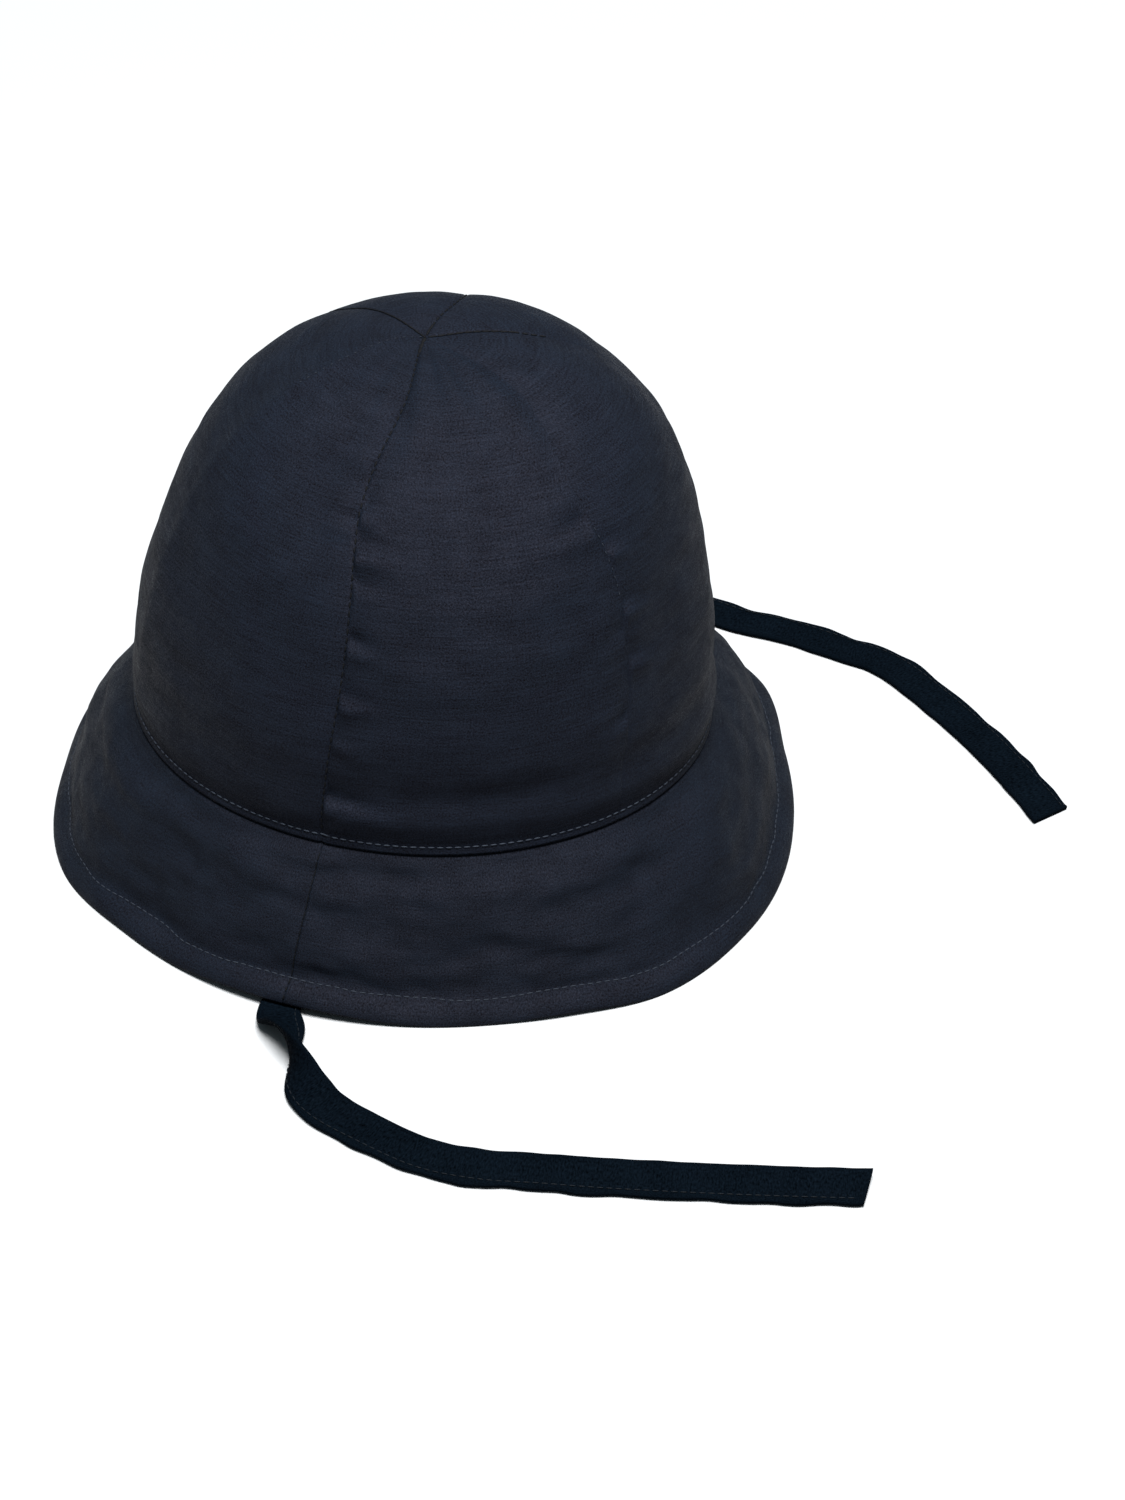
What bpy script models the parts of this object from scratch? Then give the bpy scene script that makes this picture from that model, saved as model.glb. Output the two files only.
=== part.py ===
"""A small child's sun hat in dark cotton, standing on its hem with its two chin ties laid out.

Six sewn crown panels sit over a bell-shaped brim of two halves with a stitched hem. A flat tie is
sewn inside the crown seam at each side. Metres, +Z up. The hat's front faces -Y, and the origin is
on the surface that it stands on, under the middle of the hat. Azimuths are degrees about +Z from
the front, positive towards the wearer's left hand at +X.
"""

import math

import bmesh
import bpy
from mathutils import Matrix, Vector

# Head opening: an oval on the outside of the crown where it meets the brim
HEAD_LENGTH = 0.1668
HEAD_WIDTH = 0.1478
SEAM_HEIGHT = 0.0428

# Crown: a dome with upright sides and a flat top
CROWN_HEIGHT = 0.1127
CROWN_WALL = 0.0012
SIDE_FULLNESS = 2.7
TOP_FULLNESS = 2.45
LEAN_FORWARD = 0.0058
LEAN_LEFT = 0.011
TIP_FORWARD = -0.0078
TIP_LEFT = 0.002
TIP_SPREAD = 0.026
CROWN_TWIST = 5.0
LOW_BOW_LEVEL = 0.30
LOW_BOW_SPAN = 0.21
HIGH_BOW_LEVEL = 0.68
HIGH_BOW_SPAN = 0.15
ROLL_OUT = 0.002
ROLL_RISE = 0.007
SEAM_DIP = 0.0006
SEAM_SPREAD = 0.0040
TIP_RADIUS = 0.0015

# Brim: cloth doubled, thicker along the hem
BRIM_REACH = 0.026
BRIM_WALL = 0.0016
HEM_WALL = 0.0024
HEM_DEPTH = 0.0076
BRIM_TUCK = 0.006
SEAM_LEAN = -2.1
LEAN_SPAN = 30.0

# Ties: flat strips of folded cloth
TIE_WIDTH = 0.0125
TIE_THICKNESS = 0.0016
TIE_TUCK = 0.005

# Room between pieces that are sewn together or rest on each other
CLOTH_GAP = 0.0003

# Depth that a share of 1 stands for in the tables of dents and folds, and of hem lift
DENT_DEPTH = 0.003
FOLD_DEPTH = 0.003
HEM_LIFT = 0.003

# Shares of the brim's slope over which folds grow below the crown seam and die out above the hem,
# and how far from a tie's middle the hem is still lifted by it, in half widths of the tie
FOLD_GROWTH = 0.25
FOLD_FADE = 0.2
TIE_SWELL = 7.0

# Mesh density
PANEL_COLUMNS = 10
PANEL_ROWS = 20
BRIM_COLUMNS = 34
BRIM_ROWS = 6
HEM_ROWS_DOWN = 2
PROFILE_STEPS = 400
TIE_SECTION_STEP = 0.0042
HANGING_BIAS = 0.02

# Crown seams: azimuth at the crown's edge, degrees that the seam bows low down and high up
SEAMS = (
    (-90.6, 2.0, -6.0),
    (-27.4, 2.3, -6.5),
    (28.0, 2.3, 0.0),
    (90.0, 2.3, 8.0),
    (150.0, 2.3, 0.0),
    (210.0, 2.3, 0.0),
)

# Crown panels: name, the seams at its two sides
PANELS = (
    ("crown_right_front", SEAMS[0], SEAMS[1]),
    ("crown_front", SEAMS[1], SEAMS[2]),
    ("crown_left_front", SEAMS[2], SEAMS[3]),
    ("crown_left_back", SEAMS[3], SEAMS[4]),
    ("crown_back", SEAMS[4], SEAMS[5]),
    ("crown_right_back", SEAMS[5], SEAMS[0]),
)

# Soft dents of the crown: azimuth, height as a share of the crown's, half width as a share of the
# head's width, half height as a share of the crown's, depth share (inwards is positive)
DENTS = (
    (-160.0, 0.45, 0.35, 0.50, 0.8),
    (20.0, 0.48, 0.30, 0.32, 0.45),
    (34.0, 0.86, 0.10, 0.10, 0.9),
    (45.0, 0.62, 0.12, 0.14, -0.5),
    (-108.0, 0.80, 0.14, 0.12, 0.6),
    (-62.0, 0.84, 0.07, 0.16, 0.4),
    (-120.0, 0.45, 0.20, 0.18, 0.5),
    (120.0, 0.75, 0.16, 0.14, 0.6),
    (-10.0, 0.40, 0.12, 0.20, 0.5),
    (178.0, 0.50, 0.18, 0.16, 0.6),
)

# The hem seen from above: azimuth, reach past the crown seam as a share of the brim's, lift off
# the floor as a share
HEM_ROWS = (
    (-170.0, 1.00, 0.0),
    (-143.0, 1.07, 0.0),
    (-125.0, 0.95, 0.2),
    (-90.0, 0.95, 0.0),
    (-60.0, 0.90, 0.0),
    (-45.0, 0.96, 0.3),
    (-31.0, 1.08, 0.0),
    (-12.0, 1.0, 0.0),
    (14.0, 0.97, 0.0),
    (34.0, 1.14, 0.3),
    (50.0, 1.50, 0.9),
    (70.0, 1.55, 0.5),
    (95.0, 1.45, 0.0),
    (115.0, 1.37, 0.0),
    (132.0, 1.34, 0.0),
    (150.0, 1.31, 0.0),
    (170.0, 1.20, 0.3),
)

# The brim from the crown seam (0) to the hem (1): how far down, how far out
BRIM_SLOPE = (
    (0.0, 0.0),
    (0.25, 0.38),
    (0.55, 0.65),
    (0.82, 0.80),
    (1.0, 1.0),
)

# Soft folds of the brim: azimuth, half width in degrees, place down the slope, half length as a
# share of the slope, depth share (inwards is positive)
FOLDS = (
    (-26.0, 9.0, 0.35, 0.35, 0.9),
    (-12.0, 8.0, 0.55, 0.40, -0.7),
    (-70.0, 14.0, 0.45, 0.35, 0.5),
    (-118.0, 12.0, 0.60, 0.40, 0.5),
    (35.0, 14.0, 0.50, 0.40, -0.5),
    (60.0, 24.0, 0.28, 0.30, -1.2),
    (75.0, 12.0, 0.55, 0.40, -0.5),
    (140.0, 13.0, 0.50, 0.40, 0.6),
    (185.0, 12.0, 0.60, 0.40, -0.5),
)


def smooth(share):
    """0 to 1 with level ends."""
    share = min(1.0, max(0.0, share))
    return share * share * (3 - 2 * share)


def turn_between(first, second):
    """The smaller angle from one azimuth to another, in degrees, signed."""
    return (second - first + 180.0) % 360.0 - 180.0


def place(azimuth, radius, height):
    """A point at an azimuth in degrees, a distance from the axis and a height."""
    angle = math.radians(azimuth)
    return Vector((radius * math.sin(angle), -radius * math.cos(angle), height))


def head_radius(azimuth):
    """The head oval's radius at an azimuth."""
    angle = math.radians(azimuth)
    across = math.sin(angle) / (HEAD_WIDTH / 2)
    along = math.cos(angle) / (HEAD_LENGTH / 2)
    return 1.0 / math.hypot(across, along)


def curve_between(before, start, end, after, share):
    """A smooth curve through start and end, shaped by the values on either side."""
    squared, cubed = share * share, share * share * share
    rise = (after - start) * (cubed - squared) + (end - before) * (cubed - 2 * squared + share)
    return start * (2 * cubed - 3 * squared + 1) + end * (3 * squared - 2 * cubed) + rise / 2


def around(rows, azimuth, column):
    """A column of an azimuth table, followed smoothly round the hat."""
    count = len(rows)
    for index in range(count):
        start, end = rows[index], rows[(index + 1) % count]
        span = (end[0] - start[0]) % 360.0
        share = ((azimuth - start[0]) % 360.0) / span
        if share < 1.0:
            values = [rows[(index + k) % count][column] for k in (-1, 0, 1, 2)]
            return curve_between(*values, share)
    return rows[0][column]


def down_slope(share):
    """How far out the brim is, as a share, at a share of its way down."""
    last = len(BRIM_SLOPE) - 1
    for index in range(last):
        start, end = BRIM_SLOPE[index], BRIM_SLOPE[index + 1]
        if share <= end[0]:
            between = (share - start[0]) / (end[0] - start[0])
            values = [BRIM_SLOPE[min(last, max(0, index + k))][1] for k in (-1, 0, 1, 2)]
            return curve_between(*values, between)
    return 1.0


def crown_profile():
    """The dome from its edge to its top: radius share, height and distance along, many rows."""
    rows = []
    travelled = 0.0
    for step in range(PROFILE_STEPS + 1):
        # Steps close up towards the top, where the radius falls fastest
        angle = math.pi / 2 * math.sin(math.pi / 2 * step / PROFILE_STEPS)
        share = max(0.0, math.cos(angle)) ** (2 / SIDE_FULLNESS)
        height = CROWN_HEIGHT * math.sin(angle) ** (2 / TOP_FULLNESS)
        if rows:
            before = rows[-1]
            travelled += math.hypot((share - before[0]) * HEAD_WIDTH / 2, height - before[1])
        rows.append((share, height, travelled))
    return rows


PROFILE = crown_profile()
PROFILE_LENGTH = PROFILE[-1][2]


def profile_at(travelled):
    """Radius share, height and the outward normal's two parts at a distance up the dome."""
    low, high = 0, len(PROFILE) - 1
    while high - low > 1:
        middle = (low + high) // 2
        if PROFILE[middle][2] <= travelled:
            low = middle
        else:
            high = middle
    start, end = PROFILE[low], PROFILE[high]
    share = (travelled - start[2]) / (end[2] - start[2])
    inward = (start[0] - end[0]) * HEAD_WIDTH / 2
    rise = end[1] - start[1]
    length = math.hypot(inward, rise)
    radius_share = start[0] + (end[0] - start[0]) * share
    height = start[1] + rise * share
    return radius_share, height, rise / length, inward / length


def seam_azimuth(seam, travelled):
    """Where a seam has got to at a distance up the dome: it twists a little and bows twice."""
    share = travelled / PROFILE_LENGTH
    azimuth, low_bow, high_bow = seam
    low = low_bow * math.exp(-(((share - LOW_BOW_LEVEL) / LOW_BOW_SPAN) ** 2))
    high = high_bow * math.exp(-(((share - HIGH_BOW_LEVEL) / HIGH_BOW_SPAN) ** 2))
    return azimuth + CROWN_TWIST * smooth(share) + low + high


def crown_point(azimuth, travelled):
    """A point of the crown's outer face."""
    share, height, outward, upward = profile_at(travelled)
    free = 1 - math.exp(-((height / ROLL_RISE) ** 2))
    radius = head_radius(azimuth) * share
    away = ROLL_OUT * free * share
    to_seam = min(abs(turn_between(seam_azimuth(seam, travelled), azimuth)) for seam in SEAMS)
    off_seam = math.radians(to_seam) * radius / SEAM_SPREAD
    away -= SEAM_DIP * free * math.exp(-(off_seam**2))
    for middle, level, half_width, half_height, depth in DENTS:
        across = math.radians(turn_between(middle, azimuth)) * radius / (half_width * HEAD_WIDTH)
        along = (height / CROWN_HEIGHT - level) / half_height
        away -= DENT_DEPTH * depth * free * math.exp(-(across**2) - along**2)
    lean = (height / CROWN_HEIGHT) ** 2
    # The seams meet a little off the top of the dome
    tip = math.exp(-((radius / TIP_SPREAD) ** 2))
    shift = Vector((LEAN_LEFT * lean + TIP_LEFT * tip, -LEAN_FORWARD * lean - TIP_FORWARD * tip, 0.0))
    return place(azimuth, radius + away * outward, SEAM_HEIGHT + height + away * upward) + shift


def finished(name, mesh_source, material):
    """An object made from a bmesh, with its material, shaded smooth off its sharp edges."""
    mesh = bpy.data.meshes.new(name)
    mesh_source.to_mesh(mesh)
    mesh_source.free()
    mesh.materials.append(material)
    mesh.shade_smooth()
    mesh.set_sharp_from_angle(angle=math.radians(40))
    obj = bpy.data.objects.new(name, mesh)
    bpy.context.scene.collection.objects.link(obj)
    return obj


def make_crown_panel(name, left, right, material):
    """One sewn panel: a grid bent onto the dome between two seams, then given its wall."""
    cloth = bmesh.new()
    bmesh.ops.create_grid(cloth, x_segments=PANEL_COLUMNS, y_segments=PANEL_ROWS, size=1.0)
    top = PROFILE_LENGTH - TIP_RADIUS
    for vertex in cloth.verts:
        # Columns close up towards the seams, where the cloth dips
        across = math.sin(math.pi / 2 * vertex.co.x)
        travelled = top * (vertex.co.y + 1) / 2
        start = seam_azimuth(left, travelled)
        end = start + turn_between(start, seam_azimuth(right, travelled))
        middle = (start + end) / 2
        radius = head_radius(middle) * profile_at(travelled)[0]
        half = (end - start) / 2 - math.degrees(CLOTH_GAP / 2 / radius)
        vertex.co = crown_point(middle + half * across, travelled)
    panel = finished(name, cloth, material)
    wall = panel.modifiers.new("wall", "SOLIDIFY")
    wall.thickness = CROWN_WALL
    wall.offset = -1.0
    wall.use_even_offset = True
    return panel


def hem_radius(azimuth):
    """The hem's distance from the axis at an azimuth."""
    return head_radius(azimuth) + BRIM_REACH * around(HEM_ROWS, azimuth, 1)


def hem_lift(azimuth):
    """How far the hem is off the floor: the tie passes under it, and it waves a little."""
    lift = HEM_LIFT * max(0.0, around(HEM_ROWS, azimuth, 2))
    pass_height = TIE_THICKNESS + 3 * CLOTH_GAP
    for route in (TIE_LEFT, TIE_RIGHT):
        off_tie = abs(math.radians(turn_between(route["hem_azimuth"], azimuth))) * hem_radius(azimuth)
        clear = route["hem_width"] / 2 + 2 * CLOTH_GAP
        share = (TIE_SWELL * clear - off_tie) / ((TIE_SWELL - 1) * clear)
        lift = max(lift, pass_height * smooth(share))
    return lift


def brim_azimuth(azimuth, down):
    """The brim's own azimuth lines lean near the right side seam, more towards the hem."""
    fade = math.exp(-((turn_between(-90.0, azimuth) / LEAN_SPAN) ** 2))
    return azimuth + SEAM_LEAN * fade * down


def brim_point(line, down):
    """Azimuth, radius and height of the brim's outer face, down an azimuth line to the hem."""
    azimuth = brim_azimuth(line, down)
    start = head_radius(azimuth) - CROWN_WALL - CLOTH_GAP
    top = SEAM_HEIGHT - CLOTH_GAP
    reach = hem_radius(azimuth)
    lift = hem_lift(azimuth)
    radius = start + (reach - start) * down_slope(down)
    away = 0.0
    for middle, half_width, level, half_length, depth in FOLDS:
        across = turn_between(middle, azimuth) / half_width
        along = (down - level) / half_length
        away -= FOLD_DEPTH * depth * math.exp(-(across**2) - along**2)
    # Folds die out at the crown seam and at the hem, which lies on the floor
    away *= smooth(down / FOLD_GROWTH) * smooth((1 - down) / FOLD_FADE)
    return azimuth, radius + away, lift + (top - lift) * (1 - down)


def brim_levels():
    """Places down the brim's slope where it has rows, with a close pair where the hem starts."""
    slope = math.hypot(SEAM_HEIGHT, BRIM_REACH)
    hem = 1 - HEM_DEPTH / slope
    step = 1 - (HEM_DEPTH - CLOTH_GAP) / slope
    levels = [hem * row / BRIM_ROWS for row in range(1, BRIM_ROWS + 1)]
    levels += [step + (1 - step) * row / HEM_ROWS_DOWN for row in range(HEM_ROWS_DOWN + 1)]
    return levels


def brim_section(line):
    """The brim cut through down an azimuth line: outer face to the hem, then inner face back up."""
    azimuth, radius, height = brim_point(line, 0.0)
    outer = [(azimuth, radius, SEAM_HEIGHT + BRIM_TUCK), (azimuth, radius, height)]
    outer += [brim_point(line, down) for down in brim_levels()]
    foot_azimuth, foot_radius, foot_height = outer[-1]
    inner = []
    for index in range(len(outer) - 1):
        before = outer[max(0, index - 1)]
        after = outer[index + 1]
        run = math.hypot(after[1] - before[1], after[2] - before[2])
        inward = (after[2] - before[2]) / run
        upward = (before[1] - after[1]) / run
        wall = HEM_WALL if index > BRIM_ROWS + 1 else BRIM_WALL
        azimuth, radius, height = outer[index]
        inner.append((azimuth, radius + wall * inward, height + wall * upward))
    # The hem's foot is cut level, so that it stands flat
    last = outer[-2]
    lean = (foot_radius - last[1]) / (last[2] - foot_height)
    foot = HEM_WALL * math.hypot(1.0, lean)
    inner.append((foot_azimuth, foot_radius - foot, foot_height))
    return outer + inner[::-1]


def make_brim_half(name, left, right, material):
    """Half of the brim, from one side seam to the other: sections joined round the hat."""
    cloth = bmesh.new()
    half_gap = math.degrees(CLOTH_GAP / 2 / (HEAD_WIDTH / 2))
    loops = []
    for column in range(BRIM_COLUMNS + 1):
        azimuth = left + half_gap + (right - left - 2 * half_gap) * column / BRIM_COLUMNS
        points = [place(*point) for point in brim_section(azimuth)]
        loops.append([cloth.verts.new(point) for point in points])
    count = len(loops[0])
    for first, second in zip(loops, loops[1:]):
        for index in range(count):
            after = (index + 1) % count
            cloth.faces.new((first[index], first[after], second[after], second[index]))
    cloth.faces.new(loops[0][::-1])
    cloth.faces.new(loops[-1])
    bmesh.ops.recalc_face_normals(cloth, faces=cloth.faces)
    return finished(name, cloth, material)


# How each tie hangs inside the hat: height as a share of its top, share of the way out to the floor
HANGING = (
    (1.0, 0.0),
    (0.88, 0.0),
    (0.70, 0.06),
    (0.48, 0.22),
    (0.24, 0.50),
    (0.07, 0.80),
)

# The ties' routes over the floor: azimuth, distance past the crown seam as a share of the brim's
# reach, roll in degrees. The part inside the hat hangs from the crown seam.
TIE_RIGHT = {
    "seam_azimuth": -90.0,
    "hem_azimuth": -92.8,
    "hem_width": TIE_WIDTH,
    "floor": (
        (-92.6, 0.70, 0.0),
        (-92.4, 0.95, 0.0),
        (-91.0, 1.18, 8.0),
        (-88.4, 1.46, 50.0),
        (-85.8, 1.80, 95.0),
        (-83.3, 2.12, 140.0),
        (-80.3, 2.36, 165.0),
        (-75.7, 2.60, 172.0),
        (-69.0, 2.98, 172.0),
        (-63.3, 3.18, 172.0),
        (-57.9, 3.31, 172.0),
        (-52.8, 3.50, 172.0),
        (-46.7, 3.79, 172.0),
        (-40.2, 4.21, 172.0),
        (-33.8, 4.77, 172.0),
    ),
}
TIE_LEFT = {
    "seam_azimuth": 90.0,
    "hem_azimuth": 85.0,
    "hem_width": TIE_WIDTH * 1.4,
    "floor": (
        (89.0, 0.80, 0.0),
        (87.5, 1.25, 0.0),
        (84.5, 1.62, 0.0),
        (79.5, 1.93, 0.0),
        (74.0, 2.10, 0.0),
        (69.5, 2.17, 0.0),
        (64.5, 2.25, 0.0),
        (58.6, 2.50, 0.0),
        (52.5, 2.74, 0.0),
        (46.7, 3.02, 0.0),
        (38.7, 3.18, 0.0),
        (30.6, 3.40, 0.0),
        (23.5, 3.65, 0.0),
        (18.8, 3.86, 0.0),
    ),
}


def tie_route(route):
    """The tie's centre line and roll: down inside the hat, under the hem, then over the floor."""
    azimuth = route["seam_azimuth"]
    wall = CROWN_WALL + BRIM_WALL + 3 * CLOTH_GAP + TIE_WIDTH**2 / (4 * HEAD_WIDTH)
    radius = head_radius(azimuth) - wall - TIE_THICKNESS / 2
    top = SEAM_HEIGHT + TIE_TUCK
    first = route["floor"][0]
    floor_radius = head_radius(first[0]) + first[1] * BRIM_REACH
    line = []
    for up, out in HANGING:
        at = azimuth + turn_between(azimuth, first[0]) * out
        line.append((place(at, radius + (floor_radius - radius) * out, top * up), 0.0))
    rest = CLOTH_GAP
    for at, reach, roll in route["floor"]:
        lean = math.radians(roll)
        height = abs(math.sin(lean)) * TIE_WIDTH / 2 + abs(math.cos(lean)) * TIE_THICKNESS / 2
        line.append((place(at, head_radius(at) + reach * BRIM_REACH, rest + height), roll))
    return line


def resampled(line, step):
    """The route again, smooth, with sections about a step apart."""
    found = []
    last = len(line) - 1
    for index in range(last):
        ends = [line[min(last, max(0, index + k))] for k in (-1, 0, 1, 2)]
        pieces = max(1, round((ends[2][0] - ends[1][0]).length / step))
        for piece in range(pieces + (index == last - 1)):
            share = piece / pieces
            point = curve_between(*(end[0] for end in ends), share)
            roll = curve_between(*(end[1] for end in ends), share)
            found.append((point, roll))
    return found


def make_tie(name, route, material):
    """A flat strip with rounded edges, swept along its route."""
    cloth = bmesh.new()
    stations = resampled(tie_route(route), TIE_SECTION_STEP)
    half_width, half_thick = TIE_WIDTH / 2, TIE_THICKNESS / 2
    outline = (
        (half_width - half_thick, half_thick),
        (half_width, 0.0),
        (half_width - half_thick, -half_thick),
        (half_thick - half_width, -half_thick),
        (-half_width, 0.0),
        (half_thick - half_width, half_thick),
    )
    loops = []
    last = len(stations) - 1
    for index, (point, roll) in enumerate(stations):
        ahead = (stations[min(last, index + 1)][0] - stations[max(0, index - 1)][0]).normalized()
        # Where the tie hangs straight down, its flat side faces away from the axis
        outward = Vector((point.x, point.y, 0.0)).normalized() * HANGING_BIAS
        side = Vector((ahead.y + outward.y, -ahead.x - outward.x, 0.0)).normalized()
        up = side.cross(ahead)
        lean = math.radians(roll)
        wide = side * math.cos(lean) + up * math.sin(lean)
        thick = up * math.cos(lean) - side * math.sin(lean)
        loops.append([cloth.verts.new(point + wide * x + thick * y) for x, y in outline])
    count = len(outline)
    for first, second in zip(loops, loops[1:]):
        for index in range(count):
            after = (index + 1) % count
            cloth.faces.new((first[index], first[after], second[after], second[index]))
    cloth.faces.new(loops[0][::-1])
    cloth.faces.new(loops[-1])
    bmesh.ops.recalc_face_normals(cloth, faces=cloth.faces)
    return finished(name, cloth, material)


def centre_over_origin(pieces, outline):
    """Moves all pieces so that the outline pieces' box is centred over the origin."""
    points = [vertex.co for piece in outline for vertex in piece.data.vertices]
    middle_x = (min(point.x for point in points) + max(point.x for point in points)) / 2
    middle_y = (min(point.y for point in points) + max(point.y for point in points)) / 2
    for piece in pieces:
        piece.data.transform(Matrix.Translation((-middle_x, -middle_y, 0.0)))


def cotton(name, colour):
    """Matt woven cotton."""
    material = bpy.data.materials.new(name)
    material.use_nodes = True
    shader = material.node_tree.nodes["Principled BSDF"]
    shader.inputs["Base Color"].default_value = (*colour, 1.0)
    shader.inputs["Roughness"].default_value = 0.85
    shader.inputs["Metallic"].default_value = 0.0
    return material


def main():
    for obj in list(bpy.data.objects):
        bpy.data.objects.remove(obj)
    crown_cotton = cotton("crown_cotton", (0.014, 0.018, 0.028))
    brim_cotton = cotton("brim_cotton", (0.014, 0.018, 0.028))
    tie_cotton = cotton("tie_cotton", (0.008, 0.012, 0.020))
    crown = [make_crown_panel(name, left, right, crown_cotton) for name, left, right in PANELS]
    brim = [
        make_brim_half("brim_front", -90.0, 90.0, brim_cotton),
        make_brim_half("brim_back", 90.0, 270.0, brim_cotton),
    ]
    ties = [
        make_tie("tie_left", TIE_LEFT, tie_cotton),
        make_tie("tie_right", TIE_RIGHT, tie_cotton),
    ]
    centre_over_origin(crown + brim + ties, brim)


main()
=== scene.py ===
import math

import bmesh
import bpy
from mathutils import Matrix, Vector, noise


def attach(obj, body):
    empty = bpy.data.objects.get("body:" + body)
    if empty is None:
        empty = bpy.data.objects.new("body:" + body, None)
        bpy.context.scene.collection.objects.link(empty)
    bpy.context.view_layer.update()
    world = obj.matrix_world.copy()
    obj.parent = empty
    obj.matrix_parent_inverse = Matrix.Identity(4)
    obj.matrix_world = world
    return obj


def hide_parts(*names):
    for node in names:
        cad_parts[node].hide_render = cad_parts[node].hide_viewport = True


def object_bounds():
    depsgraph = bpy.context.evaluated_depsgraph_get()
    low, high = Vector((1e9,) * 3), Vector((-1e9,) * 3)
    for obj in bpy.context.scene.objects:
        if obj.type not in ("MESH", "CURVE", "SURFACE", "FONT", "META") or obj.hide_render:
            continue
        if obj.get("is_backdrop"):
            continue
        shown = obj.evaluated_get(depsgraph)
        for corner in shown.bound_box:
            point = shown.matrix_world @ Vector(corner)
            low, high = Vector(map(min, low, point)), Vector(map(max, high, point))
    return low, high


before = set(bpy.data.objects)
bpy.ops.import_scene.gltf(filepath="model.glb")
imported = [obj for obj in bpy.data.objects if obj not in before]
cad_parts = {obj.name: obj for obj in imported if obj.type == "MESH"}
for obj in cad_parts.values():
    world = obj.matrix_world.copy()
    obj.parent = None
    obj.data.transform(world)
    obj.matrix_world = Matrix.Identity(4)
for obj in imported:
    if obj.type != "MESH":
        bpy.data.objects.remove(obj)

cad_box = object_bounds()
scene = bpy.context.scene

# The camera and the room
# The hat is seen from the wearer's right, a little behind the front of the face, and from above.
# It stands on a plain pale table under a large soft light.
CAMERA_AZIMUTH = math.radians(-70.0)
CAMERA_ELEVATION = math.radians(37.0)
CAMERA_DISTANCE = 1.3
CAMERA_LENS = 106.7
SENSOR_WIDTH = 36.0
AIM_RIGHT = 0.0402
AIM_UP = 0.0173
HEAD_MIDDLE = Vector((-0.0070, -0.0010, 0.0))
TABLE_PALE = (0.27, 0.275, 0.28, 1.0)
TABLE_ROUGHNESS = 0.9
TABLE_SIZE = 4.0
LIGHT_PLACE = (-0.82, -0.60, 4.05)
LIGHT_SIZE = 1.8
LIGHT_POWER = 700.0
LIGHT_WHITE = (1.0, 1.0, 1.0)
ROOM_COLOUR = (0.72, 0.90, 1.0, 1.0)
ROOM_STRENGTH = 0.28

towards = Vector(
    (
        math.sin(CAMERA_AZIMUTH) * math.cos(CAMERA_ELEVATION),
        -math.cos(CAMERA_AZIMUTH) * math.cos(CAMERA_ELEVATION),
        math.sin(CAMERA_ELEVATION),
    )
)
to_right = Vector((math.cos(CAMERA_AZIMUTH), math.sin(CAMERA_AZIMUTH), 0.0))
camera_data = bpy.data.cameras.new("camera")
camera_data.lens = CAMERA_LENS
camera_data.sensor_width = SENSOR_WIDTH
camera = bpy.data.objects.new("camera", camera_data)
scene.collection.objects.link(camera)
aim = HEAD_MIDDLE + AIM_RIGHT * to_right + AIM_UP * towards.cross(to_right)
camera.location = aim + CAMERA_DISTANCE * towards
camera.rotation_euler = towards.to_track_quat("Z", "Y").to_euler()
scene.camera = camera

table_mesh = bmesh.new()
bmesh.ops.create_grid(table_mesh, x_segments=2, y_segments=2, size=TABLE_SIZE)
table_data = bpy.data.meshes.new("table_top")
table_mesh.to_mesh(table_data)
table_mesh.free()
table_paint = bpy.data.materials.new("table_paint")
table_paint.use_nodes = True
table_shader = table_paint.node_tree.nodes["Principled BSDF"]
table_shader.inputs["Base Color"].default_value = TABLE_PALE
table_shader.inputs["Roughness"].default_value = TABLE_ROUGHNESS
table_data.materials.append(table_paint)
table_top = bpy.data.objects.new("table_top", table_data)
scene.collection.objects.link(table_top)
table_top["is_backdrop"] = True


def soft_light(name, place, size, power, colour):
    """A square soft light that points at the hat."""
    lamp = bpy.data.lights.new(name, "AREA")
    lamp.size = size
    lamp.energy = power
    lamp.color = colour
    light = bpy.data.objects.new(name, lamp)
    light.location = place
    light.rotation_euler = Vector(place).to_track_quat("Z", "Y").to_euler()
    scene.collection.objects.link(light)


soft_light("light_above", LIGHT_PLACE, LIGHT_SIZE, LIGHT_POWER, LIGHT_WHITE)
room = bpy.data.worlds.new("room")
room.use_nodes = True
room.node_tree.nodes["Background"].inputs["Color"].default_value = ROOM_COLOUR
room.node_tree.nodes["Background"].inputs["Strength"].default_value = ROOM_STRENGTH
scene.world = room
scene.view_settings.view_transform = "Standard"

# The cotton
# Every piece is cut from one navy plain-woven cotton, though the brim and the ties are given darker
# copies of its colour as painted shade. Its threads are about a third of a millimetre apart, and
# thicker threads show as faint level streaks.
THREAD_PITCH = 0.00036
CROWN_NAVY = (0.0031, 0.0049, 0.0084)
# The brim's colour is the crown's cotton painted a little darker: painted shade for the brim lying
# under the crown.
BRIM_NAVY_PAINTED_SHADE = (0.0026, 0.0043, 0.0073)
# The ties' colour is the same cotton painted much darker: painted shade for the ties lying flat on
# the table, where they catch less gloss.
TIE_NAVY_PAINTED_SHADE = (0.0008, 0.0018, 0.0031)
COTTON_ROUGHNESS = 0.64
COTTON_GLOSS = 0.052
COTTON_SHEEN_TINT = (1.0, 0.70, 0.72, 1.0)
TIE_ROUGHNESS = 0.80
TIE_GLOSS = 0.006
THREAD_SMOOTHING = 0.35
WEAVE_BUMP = 0.60
WEAVE_DEPTH = 0.00012


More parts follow.
